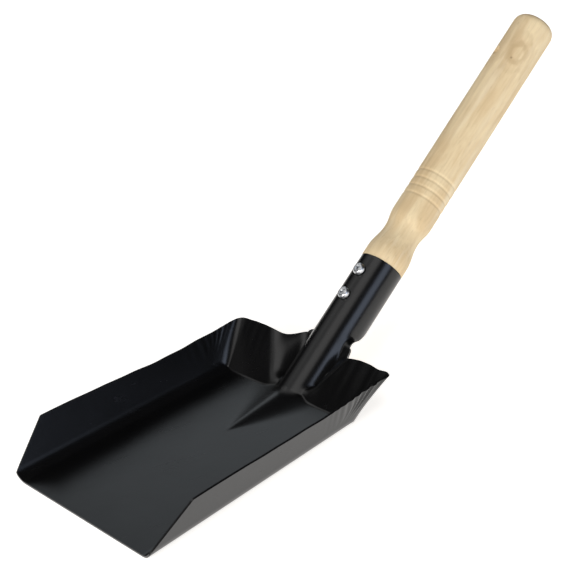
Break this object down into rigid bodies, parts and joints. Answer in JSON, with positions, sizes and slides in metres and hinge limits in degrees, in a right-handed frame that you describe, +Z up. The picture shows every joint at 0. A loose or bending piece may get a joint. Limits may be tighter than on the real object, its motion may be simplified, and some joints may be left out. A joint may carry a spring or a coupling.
{
  "type": "hand shovel",
  "caption": "Short hand shovel: pressed black steel scoop with a rolled socket, and a turned pale wooden handle held in it by cross-head screws.",
  "frame": {"origin": "middle of the underside of the scoop's flat floor, between the front lip and the heel fold", "axes": "+Z up from the floor; +Y from the front lip back to the handle; +X across the scoop's width, to the right when looking from the lip to the handle"},
  "size_m": [0.1496, 0.4194, 0.1668],
  "materials": {
    "black_paint": "gloss",
    "pale_wood": "satin",
    "bright_zinc": "polished"
  },
  "bodies": {
    "root": {"scoop_blade": "black_paint", "wooden_handle": "pale_wood", "upper_screw": "bright_zinc", "lower_screw": "bright_zinc"}
  },
  "joints": []
}
